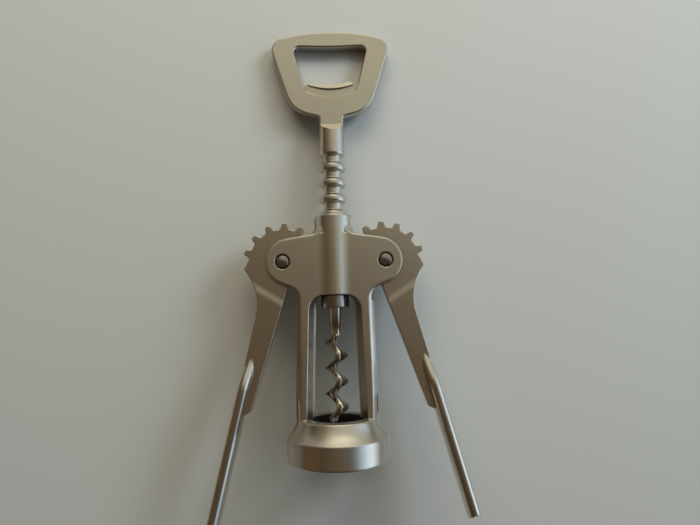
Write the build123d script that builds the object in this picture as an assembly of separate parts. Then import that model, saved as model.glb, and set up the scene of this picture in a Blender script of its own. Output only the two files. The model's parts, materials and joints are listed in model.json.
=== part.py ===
"""Wing corkscrew with a bottle opener head, lying on its back on a table.

Every piece is drawn in the tool's own frame: X across, Y along the spindle from the mouth of the bell to
the opener head, Z towards the front, with the middle plane at Z = 0. The last step lays the tool down.
Millimetres throughout.
"""
from build123d import *
from math import asin, atan2, cos, degrees, hypot, pi, radians, sin, sqrt, tan
import os

# ---- driving dimensions -------------------------------------------------------------------------------
# Liner: black plastic ring in the bell that takes the bottle's lip and lets the cork through.
bottle_radius = 15.2
bottle_depth = 10.6
cork_radius = 10.8
liner_wall = 2.98
liner_neck_wall = 1.08
liner_mouth_recess = 0.8
liner_top_recess = 0.3
liner_lead_in = 0.8
liner_top_rounding = 0.4

# Bell: the cup round the liner, which stands on the bottle.
bell_wall = 2.8
bell_top_wall = 2.8
bell_top_width = 4.3
bell_top_above_lip = 6.7
bell_shoulder_height = 7.5
bell_cove_width = 3.1
bell_cove_height = 2.8
bell_cove_radius = 11.0
bell_rim_rounding = 1.0
bell_shoulder_rounding = 0.7
bell_top_rounding = 0.9

# Frame: two legs, an arch and the slotted head that carries the levers.
frame_half_thickness = 6.4
leg_set_in = 3.5
leg_foot_width = 7.75
leg_top_width = 8.55
leg_taper = 0.65
leg_outer_bevel = 2.35
leg_flare_width = 2.3
leg_flare_height = 4.6
leg_flare_radius = 6.0
seam_proud = 0.45
seam_half_width = 0.6
seam_rounding = 0.4
window_bevel = 2.9
window_corner_radius = 3.4
window_corner_height = 7.0
arch_below_pivot = 14.5
lobe_set_in = 2.7
lobe_above_pivot = 0.1
lobe_radius = 10.15
lobe_face_inset = 0.35
lobe_underside_angle = 22.0
armpit_radius = 4.0
shoulder_above_pivot = 12.1
shoulder_radius = 4.2
shoulder_run = 4.6
shoulder_sink = 0.5
shoulder_edge_rounding = 0.5
frame_edge_rounding = 0.8
tube_wall = 2.02
tube_above_pivot = 20.5
tube_top_rounding = 1.1
tube_blend_radius = 7.5
bore_lead_in = 0.5

# Pivots.
pivot_half_spacing = 22.0
pivot_height = 83.5
pin_radius = 2.55
pin_head_proud = 0.1
pin_dome_height = 0.42
pin_edge_rounding = 0.35
pin_ring_radius = 3.3
pin_ring_depth = 1.6

# Rack rings of the spindle and the toothed sectors of the levers.
ring_pitch = 7.07
ring_radius = 5.72
ring_root_radius = 3.95
ring_width = 3.6
ring_corner_radius = 1.15
ring_upper_radius = 1.7
ring_root_rounding = 0.7
ring_count = 8
ring_below_pivot = 0.5
pitch_line_x = 6.0
tooth_count = 8
tooth_tip_height = 1.45
tooth_root_depth = 1.2
tooth_root_width = 3.9
tooth_tip_width = 2.3
tooth_tip_rounding = 0.95
tooth_root_rounding = 0.6

# Levers.
lever_half_thickness = 2.5
lever_rest_angle = 14.25
lever_rest_lash = 0.9
lever_hub_radius = 9.0
lever_edge_rounding = 0.45
arm_outer_x = 6.55
arm_neck_end = 25.5
arm_inner_top_x = -4.4
arm_inner_end_x = -0.5
arm_web_end = 64.1
arm_web_run_out = 2.2
hook_tip_height = 1.25
hook_width = 5.4
paddle_start = 40.8
paddle_flare_length = 15.6
paddle_end = 112.0
paddle_outer_x = 7.2
paddle_inner_x = 1.95
paddle_half_width = 6.2
paddle_crown_angle = 10.0
paddle_root_inset = 0.15
paddle_flare_steps = 8
paddle_tip_radius = 3.2
paddle_nose_radius = 2.2

# Spindle: opener head, stem and rack in one casting. Heights are above the stem's top.
spindle_travel = 41.2
stem_cut_height = 3.2
stem_radius = 5.6
neck_half_width = 5.35
neck_height = 3.6
neck_radius = 1.2
neck_depth_in_stem = 6.0
head_height = 43.5
head_half_thickness = 2.2
head_edge_rounding = 0.8
head_flat_half_width = 10.0
head_bow_radius = 60.0
head_corner_x = 28.1
head_corner_below_end = 3.9
head_corner_radius = 6.0
head_heel_x = 17.6
head_heel_height = 6.8
head_heel_radius = 13.0
end_bar_width = 6.7
opening_height = 20.6
opening_top_half_width = 16.9
opening_bottom_half_width = 11.6
opening_corner_radius = 2.4
opening_bow = 0.6
lip_above_opening_bottom = 4.0
lip_half_width = 8.9
lip_chamfer = 1.5
lip_height = 2.1
lip_bow = 1.4
lip_slope = 12.0
recess_bow = 2.6
recess_depth = 0.9
recess_slope_run = 0.9

# Worm and stop collar. Depths of the shank and the worm's top are below the rack's end.
shank_radius = 2.95
shank_end_depth = 13.35
shank_cone_length = 4.5
shank_cone_radius = 2.3
shank_cone_rounding = 1.9
shank_depth_in_rack = 16.0
worm_radius = 4.9
worm_inner_radius = 0.45
worm_wedge_thickness = 4.9
worm_pitch = 10.75
worm_top_depth = 15.45
worm_left_peak_depth = 41.95
worm_tip_above_lip = 0.6
worm_point_length = 5.0
worm_point_radius = 1.2
worm_runout_length = 7.5
worm_edge_flat = 0.16
worm_base_share = 0.3
worm_inner_share = 0.8
worm_trim_margin = 0.3
collar_radius = 6.0
collar_height = 5.3
collar_rounding = 0.4

# Fits and clearances.
seat_clearance = 0.02
running_clearance = 0.06
slide_clearance = 0.1
face_clearance = 0.05
slot_clearance = 0.15
sweep_clearance = 0.4
cut_margin = 1.0

# ---- values worked out from the driving dimensions ------------------------------------------------------
# Bell and liner, outwards from the bottle.
bell_hole_radius = cork_radius + liner_neck_wall + seat_clearance
bell_top_radius = bell_hole_radius + bell_top_width
bell_radius = bottle_radius + liner_wall + seat_clearance + bell_wall
bell_height = bottle_depth + bell_top_above_lip
bell_wall_height = bell_height - bell_shoulder_height

# Frame, inwards from the bell's edge and up and down from the pivots.
leg_outer_foot = bell_radius - leg_set_in
leg_outer_top = leg_outer_foot - leg_taper
window_foot_half_width = leg_outer_foot - leg_foot_width
window_top_half_width = leg_outer_top - leg_top_width
window_top = pivot_height - arch_below_pivot
leg_top = window_top - window_corner_height
lobe_center_x = pivot_half_spacing - lobe_set_in
lobe_center_y = pivot_height + lobe_above_pivot
shoulder_y = pivot_height + shoulder_above_pivot
tube_top = pivot_height + tube_above_pivot
bore_radius = ring_radius + slide_clearance
tube_radius = bore_radius + tube_wall
plate_rise = atan2(shoulder_y - lobe_center_y - lobe_radius, lobe_center_x - tube_radius)

# Teeth and the slots they turn in.
pitch_radius = pivot_half_spacing - pitch_line_x
tooth_tip_radius = pitch_radius + tooth_tip_height
tooth_root_radius = pitch_radius - tooth_root_depth
hook_radius = pitch_radius + hook_tip_height
tooth_pitch_angle = degrees(ring_pitch / pitch_radius)
slot_half_width = lever_half_thickness + slot_clearance
slot_radius = max(tooth_tip_radius, hook_radius) + sweep_clearance

# Rack, stem and head, up from the arch and the tube's top.
rack_bottom = window_top + face_clearance
first_ring = pivot_height - ring_below_pivot - ring_pitch
stem_bottom = first_ring + ring_count * ring_pitch - ring_width / 2
stem_top = tube_top + spindle_travel
neck_top = stem_top + neck_height
head_top = stem_top + head_height
head_corner = (head_corner_x, head_top - head_corner_below_end)
head_heel = (head_heel_x, stem_top + head_heel_height)
opening_top = head_top - end_bar_width
opening_bottom = opening_top - opening_height
lip_top = opening_bottom + lip_above_opening_bottom

# Worm and collar, down from the rack's end.
shank_bore_end = rack_bottom + shank_depth_in_rack
shank_end = rack_bottom - shank_end_depth
shank_cone_end = shank_end - shank_cone_length
worm_top = rack_bottom - worm_top_depth
worm_left_peak = rack_bottom - worm_left_peak_depth
worm_tip = bottle_depth + worm_tip_above_lip
collar_top = window_top - face_clearance


def tilt_when_lying():
    """Angle in degrees at which the bell's shoulder edge and the head's end edge touch the table together."""
    shoulder_turn = atan2(bell_cove_width, bell_cove_height)
    bell_edge = (bell_wall_height - bell_shoulder_rounding * tan(shoulder_turn / 2),
                 bell_radius - bell_shoulder_rounding)
    head_edge = (head_top - head_edge_rounding, head_half_thickness - head_edge_rounding)
    run = head_edge[0] - bell_edge[0]
    drop = bell_edge[1] - head_edge[1]
    return degrees(atan2(drop, run) + asin((bell_shoulder_rounding - head_edge_rounding) / hypot(run, drop)))


def turned(corners):
    """Solid of revolution about the spindle's axis from (radius, height, rounding) corners."""
    points = [(radius, height) for radius, height, rounding in corners]
    roundings = [rounding for radius, height, rounding in corners]
    return revolve(make_face(FilletPolyline(*points, radius=roundings, close=True)), Axis.Y)


def rod(radius, bottom, top):
    """Plain cylinder on the spindle's axis between two heights."""
    return turned([(0, bottom, 0), (radius, bottom, 0), (radius, top, 0), (0, top, 0)])


def slab(sketch, half_thickness):
    """Sketch of the middle plane thickened equally to the front and to the back."""
    return extrude(sketch, amount=half_thickness, both=True)


def rim_edges(solid, height):
    """Edges that lie flat in the planes at plus and minus the height."""
    return [
        edge for edge in solid.edges()
        if abs(abs(edge.center().Z) - height) < 0.001 and edge.bounding_box().size.Z < 0.001
    ]


# ---- frame ---------------------------------------------------------------------------------------------
def lobe_point(angle, inset):
    """Point of the lobe's circle whose normal points at the angle, in degrees from +X."""
    radius = lobe_radius - inset
    return lobe_center_x + radius * cos(radians(angle)), lobe_center_y + radius * sin(radians(angle))


def plate_top(x, inset):
    """Height of the plate's sloping top edge at a distance from the axis, drawn in by an inset."""
    return lobe_center_y + (lobe_radius - inset) / cos(plate_rise) + (lobe_center_x - x) * tan(plate_rise)


def plate_outline(leg_inset, lobe_inset):
    """Outer outline of legs and lever head, drawn in by one inset at the legs and one at the lobes."""
    foot = bell_wall_height + bell_rim_rounding
    foot_x = leg_outer_foot - leg_inset
    top = lobe_point(90 - degrees(plate_rise), lobe_inset)
    peak = (0, plate_top(0, lobe_inset))
    low = lobe_point(lobe_underside_angle - 90, lobe_inset)
    leg_x = leg_outer_top - leg_inset
    armpit_y = low[1] - (low[0] - leg_x) * tan(radians(lobe_underside_angle))
    right_side = [
        Line((0, foot), (foot_x + leg_flare_width, foot)),
        FilletPolyline(
            (foot_x + leg_flare_width, foot), (foot_x, foot + leg_flare_height), (leg_x, leg_top),
            radius=leg_flare_radius,
        ),
        FilletPolyline((leg_x, leg_top), (leg_x, armpit_y), low, radius=armpit_radius + leg_inset),
        ThreePointArc(low, lobe_point(0, lobe_inset), top),
        Line(top, peak),
        Line(peak, (0, foot)),
    ]
    half = make_face(right_side)
    return half + mirror(half, about=Plane.YZ)


def window_outline(bevel):
    """Outline of the window between the legs, widened by the bevel at its sides only."""
    foot = window_foot_half_width + bevel
    top = window_top_half_width + bevel
    corner = window_corner_radius + bevel
    right_side = [
        Line((0, bell_height), (foot, bell_height)),
        Line((foot, bell_height), (top, leg_top)),
        FilletPolyline((top, leg_top), (top, window_top), (0, window_top), radius=corner),
        Line((0, window_top), (0, bell_height)),
    ]
    half = make_face(right_side)
    return half + mirror(half, about=Plane.YZ)


def front_and_back(middle, face, half_thickness):
    """Solid whose outline changes evenly from the middle plane to the front and to the back."""
    front = loft([middle, Pos(0, 0, half_thickness) * face], ruled=True)
    return front + mirror(front, about=Plane.XY)


def bell_side(proud):
    """Corners of the bell's outer side with its hollow shoulder, set out by an amount."""
    return [
        (bell_radius + proud, bell_wall_height, bell_shoulder_rounding),
        (bell_radius + proud - bell_cove_width, bell_wall_height + bell_cove_height, bell_cove_radius),
        (bell_top_radius + proud, bell_height, bell_top_rounding),
    ]


def tube_side(proud):
    """Corners of the tube's outer side and the hollow shoulder at its foot, set out by an amount."""
    outer_x = tube_radius + shoulder_run
    return [
        (0, window_top, 0), (outer_x, window_top, 0),
        (outer_x, plate_top(outer_x, shoulder_sink) + proud, 0),
        (tube_radius + proud, plate_top(tube_radius, 0) + proud, shoulder_radius),
        (tube_radius + proud, tube_top, tube_top_rounding), (0, tube_top, 0),
    ]


def half_outline(corners):
    """Flat outline on both sides of the axis from (x, y, rounding) corners on the right."""
    points = [(x, y) for x, y, rounding in corners]
    roundings = [rounding for x, y, rounding in corners]
    half = make_face(FilletPolyline(*points, radius=roundings, close=True))
    return half + mirror(half, about=Plane.YZ)


def seam_ridge(outline):
    """Thin layer in the middle plane with round edges."""
    layer = slab(outline, seam_half_width)
    return fillet(rim_edges(layer, seam_half_width), seam_rounding)


def casting_seam():
    """Fine ridge where the mould's halves met, along the sides of bell and tube and the legs' edges."""
    bell = [(0, bell_rim_rounding, 0), (bell_radius + seam_proud, bell_rim_rounding, 0)]
    bell += bell_side(seam_proud) + [(0, bell_height, 0)]
    armpit_top = lobe_point(lobe_underside_angle - 90, 0)[1]
    below_armpit = Pos(0, armpit_top / 2) * Rectangle(2 * bell_radius, armpit_top)
    legs = (plate_outline(0, 0) & below_armpit) - window_outline(0)
    tube = half_outline(tube_side(seam_proud))
    return seam_ridge(half_outline(bell)) + seam_ridge(legs) + seam_ridge(tube)


def bell_inner_cone():
    """Heights and radii of the cone inside the bell, which follows the ends of the outer shoulder."""
    slope = (bell_radius - bell_top_radius) / (bell_height - bell_wall_height)
    offset = bell_wall * sqrt(1 + slope ** 2)
    cavity_radius = bell_radius - bell_wall
    ceiling = bell_height - bell_top_wall
    cone_start = bell_wall_height + (bell_radius - offset - cavity_radius) / slope
    cone_end_radius = bell_radius - offset - slope * (ceiling - bell_wall_height)
    return cavity_radius, cone_start, cone_end_radius, ceiling


def tube_shoulder():
    """Hollow shoulder between the plate's top edge and the tube, as thick as the plate."""
    outer_x = tube_radius + shoulder_run
    shoulder = turned(tube_side(0)) & slab(Rectangle(2 * outer_x, 2 * tube_top), frame_half_thickness)
    return fillet(rim_edges(shoulder, frame_half_thickness), shoulder_edge_rounding)


def tube_blend():
    """Hollow fillets where the round tube rises out of the plate's front and back faces."""
    reach = tube_radius + tube_blend_radius
    center_z = frame_half_thickness + tube_blend_radius
    center_x = sqrt(reach ** 2 - center_z ** 2)
    on_tube = (tube_radius * center_x / reach, tube_radius * center_z / reach)
    half_turn = atan2(center_x - on_tube[0], center_z - on_tube[1]) / 2
    middle = (
        center_x - tube_blend_radius * sin(half_turn), center_z - tube_blend_radius * cos(half_turn)
    )
    section = make_face([
        ThreePointArc(on_tube, middle, (center_x, frame_half_thickness)),
        Polyline((center_x, frame_half_thickness), (center_x, 0), (0, 0), on_tube),
    ])
    peak = plate_top(0, frame_edge_rounding)
    below_edge = make_face(Polyline(
        (0, window_top), (center_x, window_top), (center_x, plate_top(center_x, frame_edge_rounding)),
        (0, peak), close=True,
    ))
    bar = Pos(0, peak, 0) * extrude(Plane.XZ * section, amount=peak - window_top)
    quarter = bar & extrude(below_edge, amount=tube_radius)
    half = quarter + mirror(quarter, about=Plane.YZ)
    return half + mirror(half, about=Plane.XY)


def lever_slots():
    """Room for the toothed sectors, cut between the front and back plates of the frame."""
    slot = slab(Circle(slot_radius), slot_half_width)
    return Pos(pivot_half_spacing, pivot_height) * slot + Pos(-pivot_half_spacing, pivot_height) * slot


def pin_holes():
    """Holes for both pivot pins with the shallow ring round each head."""
    ring_height = frame_half_thickness - pin_ring_depth
    drill = slab(Circle(pin_radius + seat_clearance), frame_half_thickness + cut_margin)
    ring = Pos(0, 0, ring_height) * extrude(Circle(pin_ring_radius), amount=pin_ring_depth + cut_margin)
    hole = drill + ring + mirror(ring, about=Plane.XY)
    return Pos(pivot_half_spacing, pivot_height) * hole + Pos(-pivot_half_spacing, pivot_height) * hole


def frame_body():
    """One casting: bell, two legs, arch, slotted lever head and the tube that guides the rack."""
    plate = front_and_back(
        plate_outline(seam_proud, 0), plate_outline(leg_outer_bevel, lobe_face_inset), frame_half_thickness
    )
    plate = fillet(rim_edges(plate, frame_half_thickness), frame_edge_rounding)
    plate -= front_and_back(window_outline(seam_proud), window_outline(window_bevel), frame_half_thickness)
    bell = turned([(0, 0, 0), (bell_radius, 0, bell_rim_rounding)] + bell_side(0) + [(0, bell_height, 0)])
    tube = turned([
        (0, window_top, 0), (tube_radius, window_top, 0), (tube_radius, tube_top, tube_top_rounding),
        (0, tube_top, 0),
    ]) + tube_shoulder()
    cavity_radius, cone_start, cone_end_radius, ceiling = bell_inner_cone()
    cavity = turned([
        (0, -cut_margin, 0), (cavity_radius, -cut_margin, 0), (cavity_radius, cone_start, 0),
        (cone_end_radius, ceiling, 0),
        (bell_hole_radius, ceiling, 0), (bell_hole_radius, bell_height, 0), (0, bell_height, 0),
    ])
    bore = turned([
        (0, window_top - cut_margin, 0), (bore_radius, window_top - cut_margin, 0),
        (bore_radius, tube_top - bore_lead_in, 0), (bore_radius + bore_lead_in, tube_top, 0),
        (bore_radius + bore_lead_in, tube_top + cut_margin, 0), (0, tube_top + cut_margin, 0),
    ])
    body = plate + bell + tube + tube_blend() + casting_seam()
    return body - cavity - bore - lever_slots() - pin_holes()


def bell_liner():
    """Black plastic ring: seat for the bottle's lip below, passage for the cork above."""
    cavity_radius, cone_start, cone_end_radius, ceiling = bell_inner_cone()
    outer = cavity_radius - seat_clearance
    spigot = bell_hole_radius - seat_clearance
    top = bell_height - liner_top_recess
    return turned([
        (bottle_radius + liner_lead_in, liner_mouth_recess, 0), (outer, liner_mouth_recess, 0),
        (outer, cone_start - seat_clearance, 0),
        (cone_end_radius - seat_clearance, ceiling - seat_clearance, 0),
        (spigot, ceiling - seat_clearance, 0), (spigot, top, 0), (cork_radius, top, liner_top_rounding),
        (cork_radius, bottle_depth + liner_lead_in, 0), (cork_radius + liner_lead_in, bottle_depth, 0),
        (bottle_radius, bottle_depth, 0), (bottle_radius, liner_mouth_recess + liner_lead_in, 0),
    ])


def pivot_pin(side):
    """Rivet with polished domed ends that a lever turns on, on the side of -1 or 1."""
    half_length = frame_half_thickness + pin_head_proud
    shaft = slab(Circle(pin_radius), half_length)
    dome_radius = (pin_radius ** 2 + pin_dome_height ** 2) / (2 * pin_dome_height)
    reach = half_length + pin_dome_height
    ball = Pos(0, 0, reach - dome_radius) * Sphere(dome_radius)
    cap = ball & Pos(0, 0, half_length) * extrude(Circle(pin_radius), amount=pin_dome_height + cut_margin)
    pin = shaft + cap + mirror(cap, about=Plane.XY)
    pin = fillet(rim_edges(pin, half_length), pin_edge_rounding)
    return Pos(side * pivot_half_spacing, pivot_height) * pin


# ---- levers, drawn about the pivot with the arm pointing along -Y -----------------------------------------
def polar(radius, angle):
    """Point at a radius and an angle in degrees from +X, counterclockwise."""
    return radius * cos(radians(angle)), radius * sin(radians(angle))


def tooth_angles():
    """Angles of the teeth in the lever's own frame, from the one inside the frame to the outermost."""
    gap = 180 + degrees(asin(ring_below_pivot / pitch_radius)) - lever_rest_angle
    return [gap + tooth_pitch_angle / 2 - tooth_pitch_angle * number for number in range(tooth_count)]


def tooth(angle):
    """One tooth with straight flanks and a round tip, reaching into the root circle."""
    inner = tooth_root_radius - tooth_tip_rounding
    slope = (tooth_root_width - tooth_tip_width) / (tooth_tip_radius - tooth_root_radius) / 2
    root = tooth_tip_width / 2 + slope * (tooth_tip_radius - inner)
    tip = tooth_tip_width / 2
    outline = make_face(FilletPolyline(
        (inner, -root), (tooth_tip_radius, -tip), (tooth_tip_radius, tip), (inner, root),
        radius=[0, tooth_tip_rounding, tooth_tip_rounding, 0], close=True,
    ))
    return Rot(0, 0, angle) * outline


def lever_profile():
    """Flat outline of the lever: hub, toothed sector, end hook and arm with its web."""
    angles = tooth_angles()
    hook_angle = angles[-1] - tooth_pitch_angle
    sector_end = angles[0] + tooth_pitch_angle / 2
    sector_mid = (sector_end + hook_angle) / 2
    sector = make_face([
        Line((0, 0), polar(tooth_root_radius, hook_angle)),
        ThreePointArc(
            polar(tooth_root_radius, hook_angle), polar(tooth_root_radius, sector_mid),
            polar(tooth_root_radius, sector_end),
        ),
        Line(polar(tooth_root_radius, sector_end), (0, 0)),
    ])
    hook_tip = polar(hook_radius, hook_angle)
    neck_rise = hook_tip[1] + arm_neck_end
    neck_run = hook_tip[0] - arm_outer_x
    neck_radius = (neck_run ** 2 + neck_rise ** 2) / (2 * neck_run)
    half_turn = asin(neck_rise / neck_radius) / 2
    neck_middle = (
        arm_outer_x + neck_radius * (1 - cos(half_turn)), neck_radius * sin(half_turn) - arm_neck_end
    )
    web_foot = -arm_web_end - arm_web_run_out
    arm = make_face([
        Line((0, 0), polar(tooth_root_radius, hook_angle + degrees(hook_width / hook_radius))),
        Line(polar(tooth_root_radius, hook_angle + degrees(hook_width / hook_radius)), hook_tip),
        ThreePointArc(hook_tip, neck_middle, (arm_outer_x, -arm_neck_end)),
        Line((arm_outer_x, -arm_neck_end), (arm_outer_x, web_foot)),
        Line((arm_outer_x, web_foot), (paddle_inner_x, web_foot)),
        Line((paddle_inner_x, web_foot), (arm_inner_end_x, -arm_web_end)),
        Line((arm_inner_end_x, -arm_web_end), (arm_inner_top_x, -lever_hub_radius)),
        Line((arm_inner_top_x, -lever_hub_radius), (0, 0)),
    ])
    profile = sector + arm + Circle(lever_hub_radius)
    for angle in angles:
        profile += tooth(angle)
    sector_corner = Vector(*polar(tooth_root_radius, sector_end))
    roots = [
        vertex for vertex in profile.vertices()
        if abs(Vector(*vertex).length - tooth_root_radius) < 0.001
        and (Vector(*vertex) - sector_corner).length > tooth_root_rounding
    ]
    return fillet(roots, tooth_root_rounding)


def paddle_section(outer_x, half_width):
    """Section across the grip: an arc on each face and a round edge that runs on from both of them."""
    half_thickness = (outer_x - paddle_inner_x) / 2
    lean = radians(paddle_crown_angle)
    edge_share = (1 - sin(lean)) / cos(lean)
    side = (half_width - edge_share * half_thickness) / (1 - edge_share * tan(lean / 2))
    crown = side * tan(lean / 2)
    outer = outer_x - crown
    inner = paddle_inner_x + crown
    middle = paddle_inner_x + half_thickness
    return make_face([
        ThreePointArc((outer, -side), (outer_x, 0), (outer, side)),
        ThreePointArc((outer, side), (middle, half_width), (inner, side)),
        ThreePointArc((inner, side), (paddle_inner_x, 0), (inner, -side)),
        ThreePointArc((inner, -side), (middle, -half_width), (outer, -side)),
    ])


def paddle_flare():
    """Start of the grip, which swells from inside the arm to the full section in an even S-shaped curve."""
    root_outer_x = arm_outer_x - paddle_root_inset
    root_half_width = lever_half_thickness - paddle_root_inset
    sections = []
    for step in range(paddle_flare_steps + 1):
        share = step / paddle_flare_steps
        grown = (1 - cos(pi * share)) / 2
        section = paddle_section(
            root_outer_x + grown * (paddle_outer_x - root_outer_x),
            root_half_width + grown * (paddle_half_width - root_half_width),
        )
        sections.append(Plane.XZ.offset(paddle_start + share * paddle_flare_length) * section)
    return loft(sections)


def paddle():
    """Grip of the lever: it swells out of the arm and runs on with round edges to a rounded end."""
    flare_end = paddle_start + paddle_flare_length
    section = paddle_section(paddle_outer_x, paddle_half_width)
    bar = extrude(Plane.XZ.offset(flare_end) * section, amount=paddle_end - flare_end)
    half_width = paddle_half_width + cut_margin
    tip_radius = paddle_tip_radius + cut_margin
    plan = make_face(FilletPolyline(
        (-flare_end, half_width), (-paddle_end, half_width),
        (-paddle_end, -half_width), (-flare_end, -half_width),
        radius=[0, tip_radius, tip_radius, 0], close=True,
    ))
    outer_x = paddle_outer_x + cut_margin
    nose = make_face(FilletPolyline(
        (0, -flare_end), (outer_x, -flare_end), (outer_x, -paddle_end), (0, -paddle_end),
        radius=[0, 0, paddle_nose_radius + cut_margin, 0], close=True,
    ))
    return paddle_flare() + (bar & extrude(Plane.YZ * plan, amount=outer_x) & slab(nose, half_width))


def lever(side):
    """Toothed lever of one casting, in its place on the side of -1 or 1."""
    plate = slab(lever_profile(), lever_half_thickness)
    plate = fillet(rim_edges(plate, lever_half_thickness), lever_edge_rounding)
    eye = slab(Circle(pin_radius + running_clearance), lever_half_thickness + cut_margin)
    turn = lever_rest_angle + side * lever_rest_lash
    right = Pos(pivot_half_spacing, pivot_height) * Rot(0, 0, turn) * (plate + paddle() - eye)
    return right if side > 0 else mirror(right, about=Plane.YZ)


# ---- spindle ---------------------------------------------------------------------------------------------
def head_outline():
    """Outline of the flat opener head down into the stem."""
    corner_x, corner_y = head_corner
    heel_x, heel_y = head_heel
    inside_stem = stem_top - neck_depth_in_stem
    right_side = [
        FilletPolyline(
            (0, head_top), (head_flat_half_width, head_top), head_corner, head_heel,
            (neck_half_width, neck_top), (neck_half_width, inside_stem),
            radius=[head_bow_radius, head_corner_radius, head_heel_radius, neck_radius],
        ),
        Line((neck_half_width, inside_stem), (0, inside_stem)),
        Line((0, inside_stem), (0, head_top)),
    ]
    half = make_face(right_side)
    return half + mirror(half, about=Plane.YZ)


def opening_side_x(height):
    """Half width of the opening between its bottom and its top corners."""
    share = (height - opening_bottom) / (opening_top - opening_bottom)
    return opening_bottom_half_width + share * (opening_top_half_width - opening_bottom_half_width)


def head_opening():
    """Through opening above the lip that lifts a bottle's cap, with a notch at each end of the lip."""
    notch_y = lip_top - lip_chamfer
    side = opening_side_x(notch_y)
    lip_foot_x = lip_half_width + lip_chamfer
    return make_face([
        FilletPolyline(
            (-side, notch_y), (-opening_top_half_width, opening_top), (0, opening_top - opening_bow),
            (opening_top_half_width, opening_top), (side, notch_y),
            radius=[opening_corner_radius, head_bow_radius, opening_corner_radius],
        ),
        Polyline((side, notch_y), (lip_foot_x, notch_y), (lip_half_width, lip_top)),
        ThreePointArc((lip_half_width, lip_top), (0, lip_top - lip_bow), (-lip_half_width, lip_top)),
        Polyline((-lip_half_width, lip_top), (-lip_foot_x, notch_y), (-side, notch_y)),
    ])


def recess_outline(run):
    """Outline of the sunk band round the lip, with its lower edge moved down by a run."""
    side = opening_side_x(lip_top)
    lower = opening_bottom - run
    return make_face([
        ThreePointArc(
            (-opening_bottom_half_width, lower), (0, lower - recess_bow), (opening_bottom_half_width, lower)
        ),
        Polyline(
            (opening_bottom_half_width, lower), (side, lip_top), (-side, lip_top),
            (-opening_bottom_half_width, lower),
        ),
    ])


def lip_outline():
    """Outline of the lip: a curved strip with sloping ends."""
    foot_x = lip_half_width + lip_chamfer
    foot_y = lip_top - lip_chamfer
    upper_middle = lip_top - lip_bow
    return make_face([
        ThreePointArc((lip_half_width, lip_top), (0, upper_middle), (-lip_half_width, lip_top)),
        Line((-lip_half_width, lip_top), (-foot_x, foot_y)),
        ThreePointArc((-foot_x, foot_y), (0, upper_middle - lip_height), (foot_x, foot_y)),
        Line((foot_x, foot_y), (lip_half_width, lip_top)),
    ])


def lip():
    """The lip as it stands in its sunk band, thinner towards the opening."""
    start = lip_top - lip_bow - lip_height
    end = lip_top + cut_margin
    side_view = make_face(Polyline(
        (start, 0), (start, head_half_thickness),
        (end, head_half_thickness - (end - start) * tan(radians(lip_slope))), (end, 0), close=True,
    ))
    block = extrude(lip_outline(), amount=head_half_thickness)
    return block & extrude(Plane.YZ * side_view, amount=lip_half_width + lip_chamfer, both=True)


def lip_cut():
    """Sunk band round the lip in the head's front, with a sloping lower wall."""
    floor = head_half_thickness - recess_depth
    outside = head_half_thickness + cut_margin
    run = recess_slope_run * (recess_depth + cut_margin) / recess_depth
    band = loft([Pos(0, 0, floor) * recess_outline(0), Pos(0, 0, outside) * recess_outline(run)], ruled=True)
    return band - lip()


def ring_centers():
    """Heights of the rack's rings at rest, lowest first."""
    return [first_ring + ring_pitch * number for number in range(ring_count)]


def stem_top_cuts():
    """Slopes at the front and the back that bring the round stem down to the flat head."""
    run = stem_radius - head_half_thickness + cut_margin
    drop = stem_cut_height * run / (stem_radius - head_half_thickness)
    wedge = make_face(Polyline(
        (stem_top, head_half_thickness), (stem_top - drop, head_half_thickness + run),
        (stem_top + cut_margin, head_half_thickness + run), (stem_top + cut_margin, head_half_thickness),
        close=True,
    ))
    front = extrude(Plane.YZ * wedge, amount=stem_radius + cut_margin, both=True)
    return front + mirror(front, about=Plane.XY)


def rack_and_stem():
    """Round rack with its rings, and the plain stem above it."""
    half = ring_width / 2
    corners = [(0, rack_bottom, 0), (ring_radius, rack_bottom, 0)]
    corners += [(ring_radius, first_ring - ring_pitch + half, 0)]
    corners += [(ring_root_radius, first_ring - ring_pitch + half, ring_root_rounding)]
    for center in ring_centers():
        corners += [
            (ring_root_radius, center - half, ring_root_rounding),
            (ring_radius, center - half, ring_corner_radius),
            (ring_radius, center + half, ring_upper_radius),
            (ring_root_radius, center + half, ring_root_rounding),
        ]
    corners += [
        (ring_root_radius, stem_bottom, ring_root_rounding), (stem_radius, stem_bottom, ring_corner_radius),
        (stem_radius, stem_top, 0), (0, stem_top, 0),
    ]
    return turned(corners) - stem_top_cuts()


def handle_and_rack():
    """One casting: opener head, stem and ring rack, bored for the worm's shank."""
    head = slab(head_outline() - head_opening(), head_half_thickness)
    head = fillet(rim_edges(head, head_half_thickness), head_edge_rounding)
    head -= lip_cut()
    shank_bore = rod(shank_radius + seat_clearance, rack_bottom - cut_margin, shank_bore_end)
    return head + rack_and_stem() - shank_bore


def worm_envelope():
    """Space that the worm's wedge keeps to: pointed at the tip and run out into the shank at the top."""
    clear_radius = worm_radius + worm_trim_margin
    return turned([
        (0, worm_tip, 0), (worm_point_radius, worm_tip, 0), (clear_radius, worm_tip + worm_point_length, 0),
        (clear_radius, worm_top - worm_runout_length, 0), (shank_cone_radius, worm_top, 0), (0, worm_top, 0),
    ])


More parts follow.
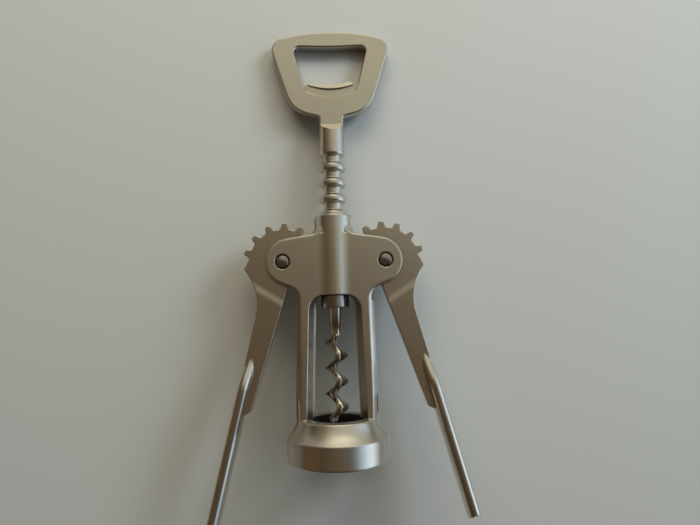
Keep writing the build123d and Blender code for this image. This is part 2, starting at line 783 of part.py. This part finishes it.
def worm():
    """Steel shank with its bullet end, and the wedge-shaped spiral that bites into the cork."""
    shank = turned([
        (0, shank_cone_end, 0), (shank_cone_radius, shank_cone_end, shank_cone_rounding),
        (shank_radius, shank_end, 0), (shank_radius, shank_bore_end - face_clearance, 0),
        (0, shank_bore_end - face_clearance, 0),
    ])
    half = worm_wedge_thickness / 2
    base = worm_radius * worm_base_share
    section = make_face(Polyline(
        (worm_inner_radius, -half * worm_inner_share), (base, -half), (worm_radius, -worm_edge_flat / 2),
        (worm_radius, worm_edge_flat / 2), (base, half), (worm_inner_radius, half * worm_inner_share),
        close=True,
    ))
    path = Helix(pitch=worm_pitch, height=worm_top - worm_tip, radius=base)
    wedge = sweep(Plane.XZ * section, path=path, is_frenet=True)
    start_angle = 360 * (worm_tip - worm_left_peak + worm_pitch / 2) / worm_pitch
    wedge = Pos(0, worm_tip, 0) * Rot(-90, 0, 0) * Rot(0, 0, start_angle) * wedge
    return shank + (wedge & worm_envelope())


def stop_collar():
    """Polished steel collar under the rack that stops the spindle at the top of its travel."""
    bore = shank_radius + running_clearance
    bottom = collar_top - collar_height
    return turned([
        (bore, bottom, 0), (collar_radius, bottom, collar_rounding),
        (collar_radius, collar_top, collar_rounding), (bore, collar_top, 0),
    ])


# ---- assembly ------------------------------------------------------------------------------------------
def laid_down(pieces):
    """Pieces lying on the bell's edge and the head's end, with the origin under the middle of the whole."""
    tilted = {name: Rot(-tilt_when_lying(), 0, 0) * piece for name, piece in pieces.items()}
    box = Compound(list(tilted.values())).bounding_box()
    shift = Pos(-box.center().X, -box.center().Y, -box.min.Z)
    return {name: shift * piece for name, piece in tilted.items()}, shift


upright = {
    "frame_body": frame_body(),
    "bell_liner": bell_liner(),
    "left_pivot_pin": pivot_pin(-1),
    "right_pivot_pin": pivot_pin(1),
    "left_lever": lever(-1),
    "right_lever": lever(1),
    "handle_and_rack": handle_and_rack(),
    "worm": worm(),
    "stop_collar": stop_collar(),
}
placed, placement_shift = laid_down(upright)

os.makedirs("parts", exist_ok=True)
for name, piece in placed.items():
    export_step(piece, f"parts/{name}.step")
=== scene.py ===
import json
from math import cos, pi, radians, sin

import bpy
import numpy as np
from mathutils import Matrix, Vector


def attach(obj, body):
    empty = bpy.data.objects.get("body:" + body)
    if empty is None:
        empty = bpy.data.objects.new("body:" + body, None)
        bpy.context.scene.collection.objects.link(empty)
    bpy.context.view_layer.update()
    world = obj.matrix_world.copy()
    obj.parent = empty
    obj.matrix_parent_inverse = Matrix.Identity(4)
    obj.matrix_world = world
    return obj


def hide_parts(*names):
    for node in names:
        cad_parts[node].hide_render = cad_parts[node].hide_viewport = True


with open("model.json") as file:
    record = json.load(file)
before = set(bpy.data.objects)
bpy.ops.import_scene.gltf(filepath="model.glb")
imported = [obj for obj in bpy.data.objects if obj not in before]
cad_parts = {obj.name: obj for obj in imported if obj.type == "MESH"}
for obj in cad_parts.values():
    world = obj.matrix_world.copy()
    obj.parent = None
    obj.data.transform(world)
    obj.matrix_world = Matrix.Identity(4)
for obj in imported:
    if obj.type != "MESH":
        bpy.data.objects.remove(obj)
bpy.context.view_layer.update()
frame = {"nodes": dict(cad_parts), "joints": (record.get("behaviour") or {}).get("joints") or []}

# ---- frame casting -------------------------------------------------------------------------------------
# Bell, legs, arch, lever head and guide tube are one zinc casting. It is ground, blasted with fine beads
# and plated with satin nickel. Its edges are painted brighter, for wear and as a painted highlight, and
# its grooves darker as painted shade. It rests on the table.
# Its sizes are in millimetres, and heights run along the spindle from the bell's mouth.
mm_per_metre = 1000
joints = {joint["name"]: joint for joint in frame["joints"]}
left_pivot = Vector(joints["left_lever_pivot"]["pos_m"])
right_pivot = Vector(joints["right_lever_pivot"]["pos_m"])
across = (right_pivot - left_pivot).normalized()
spindle = Vector(joints["spindle_slide"]["axis"])
front = Vector(joints["left_lever_pivot"]["axis"])
pivot_height = 83.5
mouth = (left_pivot + right_pivot) / 2 - spindle * pivot_height / mm_per_metre


def place(points):
    """Row-frame metres of points in the tool's own millimetres, which count across, along the spindle and
    to the front from the middle of the bell's mouth."""
    axes = np.array([across, spindle, front])
    return np.asarray(points) / mm_per_metre @ axes + np.array(mouth)


class Socket:
    """Output of a node in a material. Arithmetic on sockets and numbers adds Math nodes."""

    def __init__(self, tree, output=None):
        self.tree = tree
        self.output = output

    def node(self, kind, settings=None, inputs=None, output=0):
        """Adds a node of a kind with its settings, sets or links its inputs, and returns one output."""
        added = self.tree.nodes.new(kind)
        for name, value in (settings or {}).items():
            setattr(added, name, value)
        for name, value in (inputs or {}).items():
            if isinstance(value, Socket):
                self.tree.links.new(value.output, added.inputs[name])
            else:
                added.inputs[name].default_value = value
        return Socket(self.tree, added.outputs[output] if added.outputs else None)

    def math(self, operation, first, second=0.0, clamped=False):
        """Math node on two sockets or numbers."""
        settings = {"operation": operation, "use_clamp": clamped}
        return self.node("ShaderNodeMath", settings, {0: first, 1: second})

    def __add__(self, other):
        return self.math("ADD", self, other)

    __radd__ = __add__

    def __sub__(self, other):
        return self.math("SUBTRACT", self, other)

    def __rsub__(self, other):
        return self.math("SUBTRACT", other, self)

    def __mul__(self, other):
        return self.math("MULTIPLY", self, other)

    __rmul__ = __mul__

    def size(self):
        """The value without its sign."""
        return self.math("ABSOLUTE", self)

    def clamped(self):
        """The value held between 0 and 1."""
        return self.math("ADD", self, 0.0, clamped=True)

    def vector_math(self, operation, other, output=0):
        """Vector Math node on this vector and another."""
        return self.node("ShaderNodeVectorMath", {"operation": operation}, {0: self, 1: other}, output)

    def scaled(self, x, y, z):
        """The vector times one number for each axis."""
        return self.vector_math("MULTIPLY", (x, y, z))

    def dot(self, other):
        """Dot product of two vectors."""
        return self.vector_math("DOT_PRODUCT", other, "Value")

    def from_line(self, point, direction):
        """Distance of a position from the line through a point along a direction of length 1."""
        turned = self.vector_math("SUBTRACT", point).vector_math("CROSS_PRODUCT", direction)
        return self.node("ShaderNodeVectorMath", {"operation": "LENGTH"}, {0: turned}, "Value")

    def ramp(self, low, high):
        """Even S-shaped rise of the value from 0 at one number to 1 at another."""
        return self.node(
            "ShaderNodeMapRange", {"interpolation_type": "SMOOTHSTEP"},
            {"Value": self, "From Min": low, "From Max": high},
        )

    def noise(self, per_mm, detail):
        """Noise of so many lumps to the millimetre at this place, from 0 to 1."""
        inputs = {"Vector": self, "Scale": per_mm, "Detail": detail}
        return self.node("ShaderNodeTexNoise", None, inputs, "Fac")

    def swing(self, amount):
        """Noise measured from its middle, a half, and times an amount."""
        return (self - 0.5) * amount

    def mix(self, low, high):
        """Colour between two colours, by this value. The Mix node has sockets of one name for each kind of
        data, so its colour sockets go by number."""
        factor = 0
        low_color = 6
        high_color = 7
        mixed_color = 2
        inputs = {factor: self, low_color: low, high_color: high}
        return self.node("ShaderNodeMix", {"data_type": "RGBA"}, inputs, mixed_color)


shading_rays = 6
edge_gain = 6


def new_material(name):
    """Empty material: its start socket, and its position in millimetres of the row frame."""
    material = bpy.data.materials.new(name)
    material.use_nodes = True
    material.node_tree.nodes.clear()
    start = Socket(material.node_tree)
    metres = start.node("ShaderNodeTexCoord", output="Object")
    return material, start, metres.scaled(mm_per_metre, mm_per_metre, mm_per_metre)


def surface(start, inputs):
    """Ends a material with one Principled shader."""
    shader = start.node("ShaderNodeBsdfPrincipled", None, inputs)
    start.node("ShaderNodeOutputMaterial", None, {"Surface": shader})


def rounded_normal(start, radius):
    """Normal averaged over a radius in millimetres, which softens outer edges and inner corners."""
    return start.node("ShaderNodeBevel", {"samples": shading_rays}, {"Radius": radius / mm_per_metre})


def edge_share(start, normal):
    """How far the softened normal leans away from the flat one, 0 on faces and 1 on an edge."""
    flat = start.node("ShaderNodeNewGeometry", output="Normal")
    return ((1 - normal.dot(flat)) * edge_gain).clamped()


def openness(start, reach):
    """How open the place is within a reach in millimetres: 1 on a free face and less in grooves."""
    inputs = {"Distance": reach / mm_per_metre}
    return start.node("ShaderNodeAmbientOcclusion", {"samples": shading_rays}, inputs, "AO")


def tilted(start, height, strength, depth, normal=None):
    """Normal tilted by the slope of a height, of which 1 stands for a depth in millimetres."""
    inputs = {"Height": height, "Strength": strength, "Distance": depth / mm_per_metre}
    if normal is not None:
        inputs["Normal"] = normal
    return start.node("ShaderNodeBump", None, inputs)


nickel = (0.66, 0.60, 0.51, 1)
# Brighter edge colour, for wear and as a painted highlight.
worn_and_highlit_nickel = (0.94, 0.91, 0.85, 1)
# Dark colour of the painted shade in grooves, which the slow clouds also darken towards a little. The next
# numbers set how far that painted shade reaches, where it starts, how fast it grows and how it roughens.
shade_and_tarnish_color = (0.20, 0.155, 0.105, 1)
painted_shade_reach = 2.5
painted_shade_openness = 0.8
painted_shade_gain = 1.6
groove_roughness = 0.1
wear_roughness = 0.08
clouds_per_mm = 0.09
clouds_tarnish = 0.12
clouds_roughness = 0.08
grain_per_mm = 5.5
grain_roughness = 0.07
beads_per_mm = 2.2
bead_strength = 0.14
bead_depth = 0.03


def blasted_nickel(name, edge_softness, roughness, grain_scale=(1, 1, 1), relief=None):
    """Bead-blasted nickel: dull faces with a fine grain and slow clouds, edges painted brighter for wear
    and as a painted highlight, and grooves painted darker as shade. A relief function gives a height in
    millimetres at a position."""
    material, start, where = new_material(name)
    normal = rounded_normal(start, edge_softness)
    wear_and_highlight = edge_share(start, normal)
    if relief:
        normal = tilted(start, relief(where), strength=1, depth=1, normal=normal)
    # Painted shade: grooves and recesses darken by how closed in they are.
    painted_shade = ((painted_shade_openness - openness(start, painted_shade_reach)) * painted_shade_gain).clamped()
    clouds = where.noise(clouds_per_mm, detail=3)
    grain = where.scaled(*grain_scale).noise(grain_per_mm, detail=3)
    beads = where.noise(beads_per_mm, detail=2)
    # Edges are painted brighter, for wear and as a painted highlight.
    clean = wear_and_highlight.mix(nickel, worn_and_highlit_nickel)
    rough = roughness + clouds.swing(clouds_roughness) + grain.swing(grain_roughness)
    surface(start, {
        "Base Color": (painted_shade + clouds.swing(clouds_tarnish)).clamped().mix(clean, shade_and_tarnish_color),
        "Metallic": 1.0,
        "Roughness": rough - wear_and_highlight * wear_roughness + painted_shade * groove_roughness,
        "Normal": tilted(start, grain + beads, bead_strength, bead_depth, normal),
    })
    return material


def dress(node, material):
    """Gives a CAD node one finish in place of the plain ones that it comes with."""
    mesh = frame["nodes"][node].data
    mesh.materials.clear()
    mesh.materials.append(material)


def from_mouth(where, direction):
    """Millimetres from the middle of the bell's mouth along a direction, at a position."""
    return where.dot(tuple(direction)) - mouth.dot(direction) * mm_per_metre


half_thickness = 6.4
leg_side = (13.6, 14.2)
leg_foot = (17.3, 28.0)
leg_lean = 0.62


def leg_roundness(where):
    """Turns the legs' outer sides towards the front, as their rounded edges are. The height is leg_lean
    times the way in from the front or back face to the middle plane. It fades in between two distances from
    the spindle, at the leg's side, and between two heights, at its foot."""
    off_axis = from_mouth(where, across).size()
    off_middle = from_mouth(where, front).size()
    height = from_mouth(where, spindle)
    return (half_thickness - off_middle) * leg_lean * off_axis.ramp(*leg_side) * height.ramp(*leg_foot)


dress("frame_body", blasted_nickel("frame_nickel", edge_softness=0.6, roughness=0.34, relief=leg_roundness))

# ---- liner ---------------------------------------------------------------------------------------------
# Ring of black plastic pressed into the bell, moulded with a half matt skin that shows faint wear
# where corks have passed.
liner_black = (0.012, 0.012, 0.013, 1)
worn_black = (0.024, 0.023, 0.022, 1)
liner_roughness = 0.34
liner_wear_roughness = 0.16
liner_material, start, where = new_material("black_liner")
liner_wear = where.noise(per_mm=0.25, detail=3)
surface(start, {
    "Base Color": liner_wear.mix(liner_black, worn_black),
    "Roughness": liner_roughness + liner_wear.swing(liner_wear_roughness),
    "Normal": tilted(start, where.noise(per_mm=4.0, detail=2), strength=0.1, depth=0.03),
})
dress("bell_liner", liner_material)

# ---- pivot rivets --------------------------------------------------------------------------------------
# Turned steel pins on which the levers swing. Each has domed and polished ends, which sit in a narrow round
# recess of the casting.
# Steel is painted darker as shade where it sits deep: fully at the first openness, not at all at the
# second, down to a share of its colour.
full_shade_openness = 0.2
no_shade_openness = 0.75
hazy_share = 0.9
painted_shade_share = 0.12
haze_roughness = 0.06
marks_roughness = 0.05


def dimmed(color, share):
    """A share of a colour's light, as a colour of four numbers."""
    return tuple(share * part for part in color) + (1,)


def polished_steel(name, color, roughness, marks_per_mm, shade_reach, extra_painted_shade=None):
    """Polished steel with a slow haze and faint turning marks, so many to the millimetre along each axis.
    It is painted darker as shade where it sits deep. A function may add a share of painted shade."""
    material, start, where = new_material(name)
    haze = where.noise(per_mm=0.35, detail=3)
    marks = where.scaled(*marks_per_mm).noise(per_mm=1.0, detail=2)
    # Painted shade: darker where the steel sits deep.
    painted_steel_shade = 1 - openness(start, shade_reach).ramp(full_shade_openness, no_shade_openness)
    if extra_painted_shade:
        painted_steel_shade = (painted_steel_shade + extra_painted_shade(where)).clamped()
    clean = haze.mix(dimmed(color, 1), dimmed(color, hazy_share))
    surface(start, {
        "Base Color": painted_steel_shade.mix(clean, dimmed(color, painted_shade_share)),
        "Metallic": 1.0,
        "Roughness": roughness + haze.swing(haze_roughness) + marks.swing(marks_roughness),
        "Normal": tilted(start, marks, strength=0.08, depth=0.02),
    })
    return material


# Painted shade darkens the pins where they sit in their narrow recess.
rivet_steel = polished_steel(
    "rivet_steel", (0.36, 0.32, 0.29), roughness=0.15, marks_per_mm=(0.8, 0.8, 0.8), shade_reach=1.5,
)
dress("left_pivot_pin", rivet_steel)
dress("right_pivot_pin", rivet_steel)

# ---- levers --------------------------------------------------------------------------------------------
# One zinc casting each: toothed sector, flat arm and full paddle grip, blasted and plated like the frame.
# The part that turns between the frame's plates is a little thinner, with a soft step out to the arm.
step_start = 13.2
step_end = 17.2
step_rise = 0.32
arm_angle = radians(32)


def arm_step(pivot, side):
    """Relief of one lever: a rise between step_start and step_end from its pivot, measured along the arm,
    which leans by an angle from the spindle to the lever's own side."""
    toward = side * sin(arm_angle) * across - cos(arm_angle) * spindle
    at_pivot = pivot.dot(toward) * mm_per_metre
    start_and_end = (at_pivot + step_start, at_pivot + step_end)
    return lambda where: where.dot(tuple(toward)).ramp(*start_and_end) * step_rise


for lever, pivot, side in (("left_lever", left_pivot, -1), ("right_lever", right_pivot, 1)):
    step = arm_step(pivot, side)
    dress(lever, blasted_nickel(lever + "_nickel", edge_softness=0.3, roughness=0.27, relief=step))

# ---- handle and rack -----------------------------------------------------------------------------------
# Opener head, stem and ring rack in one casting. The flat head is ground along the spindle before it is
# plated, so it carries a fine straight grain.
ground_grain = (1.0, 0.12, 1.0)
head_nickel = blasted_nickel("head_nickel", edge_softness=0.3, roughness=0.31, grain_scale=ground_grain)
dress("handle_and_rack", head_nickel)

# ---- stop collar ---------------------------------------------------------------------------------------
# Steel ring round the shank that stops the spindle under the arch of the frame. It is turned, which leaves
# marks round it, and polished.
turning_marks = (0.1, 12.0, 0.1)
# Painted shade darkens the collar where it sits deep under the arch.
collar_steel = polished_steel(
    "collar_steel", (0.40, 0.36, 0.33), roughness=0.24, marks_per_mm=turning_marks, shade_reach=6.0,
)
dress("stop_collar", collar_steel)

# ---- worm ----------------------------------------------------------------------------------------------
# Hardened steel shank with a bullet-shaped end, cast into the rack, and a spiral whose wedge section has
# hollow flanks and a thin outer edge. It is rolled in one piece with the shank and polished.
shank_radius = 2.95
shank_top = 84.0
shank_end = 55.7
nose_radius = 2.42
nose_start = 55.25
nose_round = 1.9
nose_end = 50.7
nose_steps = 14
worm_top = 53.4
worm_tip = 11.2
worm_pitch = 10.75
left_peak = 27.1
worm_radius = 4.9
back_radius = 0.4
back_growth = 2
body_width = 4.88
flank_power = 0.8
point_length = 6.5
point_power = 0.7
runout = 4.0
runout_share = 0.35
runout_power = 0.6
# The worm's thin outer edge and its tip are painted darker as shade: the edge by distance from the spindle,
# with a share, and the tip below two heights.
shaded_edge = (2.5, 4.6)
shaded_edge_share = 0.8
shaded_tip = (13.0, 19.0)


def new_object(name, data):
    """Object of a mesh, a lamp or a camera, put into the scene at the origin."""
    added = bpy.data.objects.new(name, data)
    bpy.context.scene.collection.objects.link(added)
    return added


def mesh_piece(name, points, faces, material):
    """Smooth mesh object at the origin, from points in row-frame metres, with its material."""
    mesh = bpy.data.meshes.new(name)
    mesh.from_pydata([tuple(point) for point in points], [], faces)
    mesh.polygons.foreach_set("use_smooth", [True] * len(mesh.polygons))
    mesh.materials.append(material)
    mesh.update()
    return new_object(name, mesh)


def tube_faces(rows, columns, first=0):
    """Quads of a grid closed round its columns, and a fan of triangles on each end pole. The grid's points
    count row by row from the first, and the two poles come after them."""
    row, column = np.meshgrid(np.arange(rows - 1), np.arange(columns), indexing="ij")
    after = (column + 1) % columns
    quads = np.stack([
        row * columns + column, row * columns + after,
        (row + 1) * columns + after, (row + 1) * columns + column,
    ], axis=-1).reshape(-1, 4)
    around = np.arange(columns)
    beside = (around + 1) % columns
    last = (rows - 1) * columns
    pole = np.full(columns, rows * columns)
    start_fan = np.stack([pole, beside, around], axis=-1)
    end_fan = np.stack([pole + 1, last + around, last + beside], axis=-1)
    return [face for group in (quads, start_fan, end_fan) for face in (group + first).tolist()]


def spiral(steps_per_turn=72, around=48):
    """Leaf-shaped level section turned about the spindle as it rises. An angle goes round the section, from
    the rounded back over one flank to the edge and home over the other. The share of the way out, from
    back_radius behind the spindle's axis to worm_radius in front of it, is (1 - cos angle) / 2, and the
    half width is body_width * share ** 0.5 * (1 - share) ** flank_power. The section grows from a point at
    the tip to its full size over point_length, with point_power, and its back back_growth times as fast.
    At the top it shrinks over the runout to runout_share, with runout_power, inside the shank's nose."""
    turns = (worm_top - worm_tip) / worm_pitch
    rows = int(turns * steps_per_turn) + 1
    height = np.linspace(worm_tip, worm_top, rows)[:, None]
    section = np.linspace(0, 2 * pi, around, endpoint=False)[None, :]
    turned = 2 * pi * (height - left_peak) / worm_pitch + pi
    from_tip = np.clip((height - worm_tip) / point_length, 0, 1)
    to_top = np.clip((worm_top - height) / runout, 0, 1)
    grow = from_tip ** point_power * (runout_share + (1 - runout_share) * to_top ** runout_power)
    share = (1 - np.cos(section)) / 2
    back = back_radius * np.minimum(1, back_growth * grow)
    outward = (worm_radius + back_radius) * share * grow - back
    half_width = body_width * np.sqrt(share) * (1 - share) ** flank_power
    sideways = np.sign(np.sin(section)) * half_width * grow
    points = np.stack([
        outward * np.cos(turned) + sideways * np.sin(turned),
        height + 0 * section,
        -outward * np.sin(turned) + sideways * np.cos(turned),
    ], axis=-1).reshape(-1, 3)
    ends = [points[:around].mean(0), points[-around:].mean(0)]
    return np.vstack([points, ends]), tube_faces(rows, around)


def shank(first, around=96):
    """Radius against height turned about the spindle: a quarter of an ellipse for the end, the straight
    nose, a short step and the straight rod. Its points count from the first."""
    round_end = np.linspace(0, pi / 2, nose_steps)[1:]
    radius = np.concatenate([nose_radius * np.sin(round_end), [nose_radius, shank_radius, shank_radius]])
    height = np.concatenate([
        nose_end + nose_round * (1 - np.cos(round_end)), [nose_start, shank_end, shank_top],
    ])
    turn = np.linspace(0, 2 * pi, around, endpoint=False)
    points = np.stack([
        radius[:, None] * np.cos(turn), height[:, None] + 0 * turn, -radius[:, None] * np.sin(turn),
    ], axis=-1).reshape(-1, 3)
    ends = [[0, nose_end, 0], [0, shank_top, 0]]
    return np.vstack([points, ends]), tube_faces(len(radius), around, first)


def worm_painted_shade(where):
    """Share of painted shade on the worm's thin outer edge, by the distance from the spindle, and on its
    tip, by height.
    """
    edge = where.from_line(tuple(mouth * mm_per_metre), tuple(spindle)).ramp(*shaded_edge)
    tip = 1 - from_mouth(where, spindle).ramp(*shaded_tip)
    return edge * shaded_edge_share + tip


worm_steel = polished_steel(
    "worm_steel", (0.80, 0.71, 0.61), roughness=0.15, marks_per_mm=(0.6, 0.6, 0.6), shade_reach=9.0,
    extra_painted_shade=worm_painted_shade,
)
spiral_points, spiral_faces = spiral()
shank_points, shank_faces = shank(len(spiral_points))
worm_points = place(np.vstack([spiral_points, shank_points]))
worm = mesh_piece("worm_spiral", worm_points, spiral_faces + shank_faces, worm_steel)
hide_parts("worm")
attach(worm, "spindle")

# ---- table ---------------------------------------------------------------------------------------------
# Smooth pale grey table top, lacquered and a little glossy. The tool lies on it on its back, and it isn't
# part of the tool. Its size is in metres.
table_half = 4.0
corners = [
    (-table_half, -table_half, 0), (table_half, -table_half, 0),
    (table_half, table_half, 0), (-table_half, table_half, 0),
]
table_lacquer, start, where = new_material("table_lacquer")
surface(start, {"Base Color": (0.56, 0.58, 0.565, 1), "Roughness": 0.42, "IOR": 1.4})
table = mesh_piece("table_top", corners, [(0, 1, 2, 3)], table_lacquer)

# ---- light ---------------------------------------------------------------------------------------------
# A cool soft window low on the right, warm pale ones beyond the head and a dim warm room, which the metal
# reflects. Two broad lamps add even light and the soft shadow on the table.


def lamp(name, direction, distance, width, height, power, color):
    """Rectangular lamp that faces the tool from a direction and shows in no reflection."""
    data = bpy.data.lights.new(name, "AREA")
    data.shape = "RECTANGLE"
    data.size = width
    data.size_y = height
    data.energy = power
    data.color = color
    toward = Vector(direction).normalized()
    lit = new_object(name, data)
    lit.location = toward * distance
    lit.rotation_euler = toward.to_track_quat("Z", "Y").to_euler()
    lit.visible_glossy = False


lamp(
    "window_lamp", direction=(0.70, 0.54, 0.42), distance=0.9, width=0.30, height=0.30, power=3.9,
    color=(0.87, 0.98, 1.09),
)
lamp(
    "head_lamp", direction=(-0.05, 0.87, 0.48), distance=0.72, width=0.7, height=0.3, power=3.1,
    color=(1.0, 0.88, 0.70),
)

# Each patch has a direction, the degrees from there at which it ends and at which it is full, and a colour.
room_color = (0.045, 0.030, 0.016, 1)
patches = {
    "ceiling": ((0.0, 0.0, 1.0), 38, 6, (0.12, 0.086, 0.053, 1)),
    "left_wall": ((-0.853, -0.150, 0.50), 32, 8, (0.12, 0.075, 0.035, 1)),
    "away": ((-0.35, 0.75, 0.60), 48, 10, (0.22, 0.17, 0.12, 1)),
    "broad_window": ((0.545, 0.65, 0.53), 48, 22, (0.56, 0.58, 0.52, 1)),
    "pale_window": ((0.0, 0.74, 0.67), 30, 14, (0.62, 0.62, 0.49, 1)),
    "cool_window": ((0.98, -0.09, 0.17), 45, 15, (0.72, 0.98, 1.30, 1)),
    "low_window": ((0.086, 0.981, 0.174), 30, 14, (1.3, 1.25, 1.04, 1)),
    "right_horizon": ((0.98, -0.14, 0.12), 22, 8, (1.35, 1.65, 2.0, 1)),
}
world = bpy.data.worlds.new("room")
world.use_nodes = True
world.node_tree.nodes.clear()
bpy.context.scene.world = world
start = Socket(world.node_tree)
view = start.node("ShaderNodeTexCoord", output="Generated")


def glow(direction, edge, full):
    """Soft round patch of sky: 0 beyond one angle from its middle and 1 within another, in degrees."""
    return view.dot(tuple(Vector(direction).normalized())).ramp(cos(radians(edge)), cos(radians(full)))


room = room_color
for direction, edge, full, color in patches.values():
    room = glow(direction, edge, full).mix(room, color)
backdrop = start.node("ShaderNodeBackground", None, {"Color": room, "Strength": 1.0})
start.node("ShaderNodeOutputWorld", None, {"Surface": backdrop})

# ---- camera --------------------------------------------------------------------------------------------
# Above the middle of the tool, square to it but for a few degrees, with a wide lens. Its place is in the
# tool's own millimetres, and its focal length is a share of the picture's width.
camera_at = (2.53, 57.77, 228.69)
lean_degrees = {"X": -6.36, "Y": 0.92, "Z": 1.43}
focal_share = 526 / 700
lean = Matrix.Identity(3)
for axis, degrees in lean_degrees.items():
    lean = lean @ Matrix.Rotation(radians(degrees), 3, axis)
facing = Matrix((across, spindle, front)).transposed() @ lean.transposed()
camera_data = bpy.data.cameras.new("camera")
camera_data.sensor_width = 36.0
camera_data.lens = camera_data.sensor_width * focal_share
camera_data.clip_start = 0.01
camera_data.clip_end = 10.0
camera = new_object("camera", camera_data)
camera.matrix_world = Matrix.Translation(Vector(place(camera_at))) @ facing.to_4x4()
bpy.context.scene.camera = camera
bpy.context.scene.view_settings.view_transform = "Standard"
